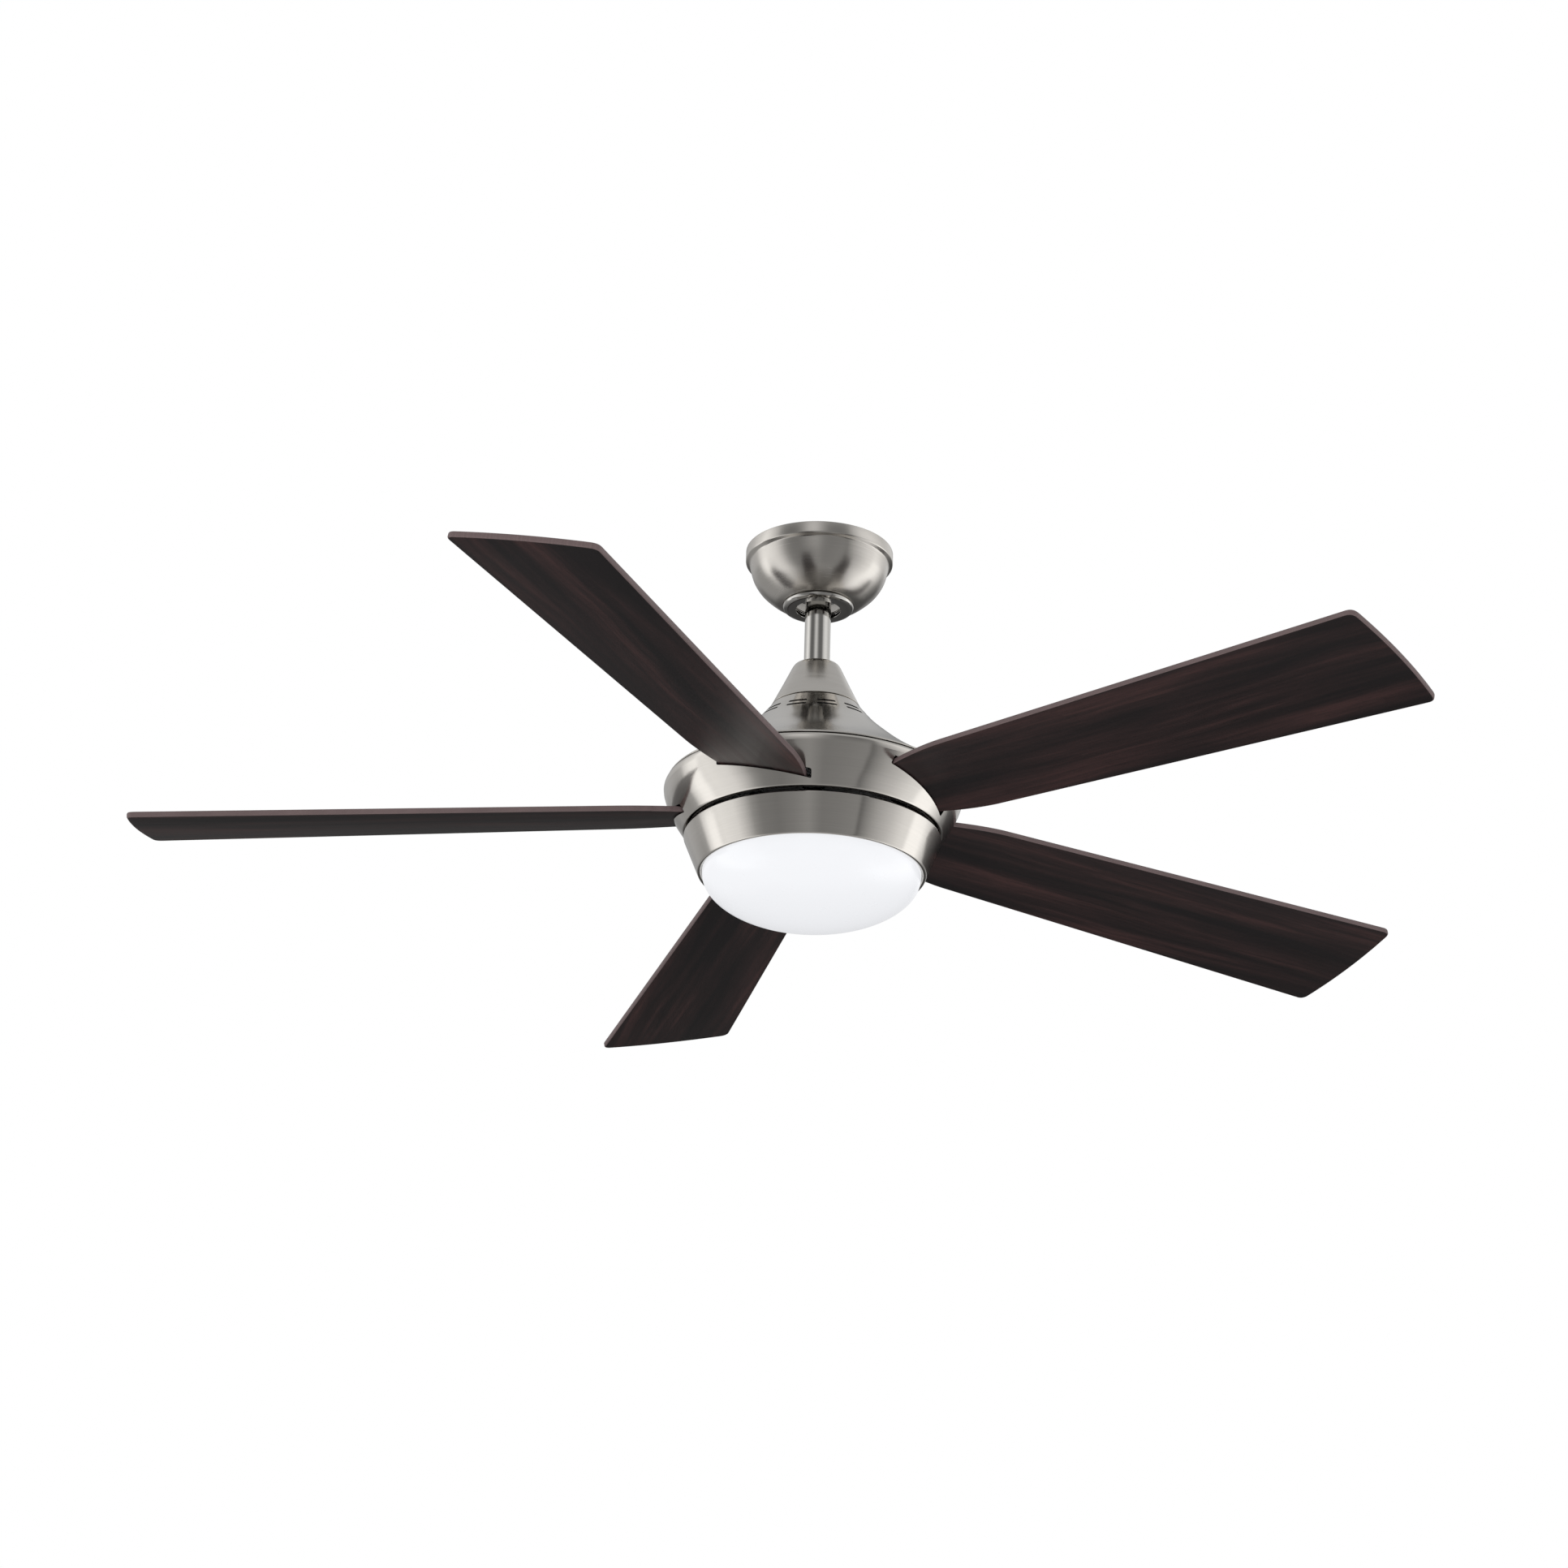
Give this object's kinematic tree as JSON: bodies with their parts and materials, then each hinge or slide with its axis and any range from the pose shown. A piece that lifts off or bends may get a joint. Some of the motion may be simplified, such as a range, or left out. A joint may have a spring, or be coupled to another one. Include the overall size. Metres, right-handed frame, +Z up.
{
  "type": "ceiling fan with light",
  "caption": "Downrod ceiling fan with pitched dark wood blades through a brushed nickel drum, and an opal glass light below.",
  "frame": {"origin": "centre of the ceiling face, on the top of the hanger bracket plate", "axes": "+Z up into the ceiling, -Y towards the viewer, blade_1 points along -X"},
  "size_m": [1.2299, 1.2866, 0.388],
  "materials": {
    "nickel": "satin brushed nickel plate",
    "bright_nickel": "bright nickel plate",
    "zinc_steel": "zinc plated pressed steel",
    "dark_steel": "blackened steel",
    "cast_aluminium": "die cast, matt",
    "bearing_steel": "ground steel",
    "copper": "varnished copper wire",
    "espresso_wood": "dark espresso wood grain, satin lacquer",
    "opal_glass": "opal white glass, satin",
    "white_paint": "white enamel",
    "black_plastic": "fine texture",
    "white_plastic": "moulded",
    "led_board": "white solder mask with light chips",
    "lead_cover": "insulated leads in a sleeve"
  },
  "bodies": {
    "ceiling_mount": {"hanger_bracket": "zinc_steel", "canopy": "nickel", "canopy_screw_left": "bright_nickel", "canopy_screw_right": "bright_nickel", "remote_receiver": "black_plastic"},
    "trim_ring": {"canopy_trim_ring": "bright_nickel"},
    "cross_pin": {"ball_cross_pin": "bearing_steel"},
    "hanging": {"hanger_ball": "black_plastic", "ball_set_screw": "dark_steel", "downrod": "bright_nickel", "wire_harness": "lead_cover", "wire_plug": "white_plastic", "motor_coupling": "zinc_steel", "clevis_pin": "bearing_steel", "hairpin_clip": "bearing_steel", "coupling_set_screw": "dark_steel", "upper_housing": "nickel", "housing_screw_1": "dark_steel", "housing_screw_2": "dark_steel", "housing_screw_3": "dark_steel", "motor_shaft": "bearing_steel", "upper_bearing_inner": "bearing_steel", "lower_bearing_inner": "bearing_steel", "stator_core": "zinc_steel", "stator_windings": "copper", "light_mount_plate": "zinc_steel", "light_plate_nut": "bearing_steel", "light_pan": "white_paint", "light_ring": "nickel", "led_driver": "white_plastic", "led_board": "led_board", "glass_retainer": "white_paint"},
    "rod_cover": {"coupling_cover": "nickel"},
    "rotor": {"upper_bearing_cage": "bearing_steel", "lower_bearing_cage": "bearing_steel", "upper_bearing_outer": "bearing_steel", "lower_bearing_outer": "bearing_steel", "motor_top_cover": "cast_aluminium", "motor_bottom_cover": "cast_aluminium", "rotor_ring": "dark_steel", "blade_flywheel": "zinc_steel", "drum_housing": "nickel", "blade_bracket_1": "zinc_steel", "blade_1": "espresso_wood", "blade_clamp_1": "dark_steel", "blade_bracket_2": "zinc_steel", "blade_2": "espresso_wood", "blade_clamp_2": "dark_steel", "blade_bracket_3": "zinc_steel", "blade_3": "espresso_wood", "blade_clamp_3": "dark_steel", "blade_bracket_4": "zinc_steel", "blade_4": "espresso_wood", "blade_clamp_4": "dark_steel", "blade_bracket_5": "zinc_steel", "blade_5": "espresso_wood", "blade_clamp_5": "dark_steel"},
    "glass": {"glass_bowl": "opal_glass"}
  },
  "joints": [
    {"name": "trim_ring_twist", "type": "hinge", "parent": "ceiling_mount", "child": "trim_ring", "pos_m": [0, 0, -0.0571], "axis": [0, 0, 1], "range_deg": [0, 15]},
    {"name": "ball_tilt_y", "type": "hinge", "parent": "ceiling_mount", "child": "cross_pin", "pos_m": [0, 0, -0.034], "axis": [0, 1, 0], "range_deg": [-12, 12]},
    {"name": "ball_tilt_x", "type": "hinge", "parent": "cross_pin", "child": "hanging", "pos_m": [0, 0, -0.034], "axis": [1, 0, 0], "range_deg": [-12, 12]},
    {"name": "rod_cover_lift", "type": "slide", "parent": "hanging", "child": "rod_cover", "axis": [0, 0, 1], "range_m": [0, 0.045]},
    {"name": "rotor_spin", "type": "hinge", "parent": "hanging", "child": "rotor", "pos_m": [0, 0, -0.2275], "axis": [0, 0, 1], "continuous": true},
    {"name": "glass_twist", "type": "hinge", "parent": "hanging", "child": "glass", "pos_m": [0, 0, -0.334], "axis": [0, 0, 1], "range_deg": [0, 20]}
  ]
}
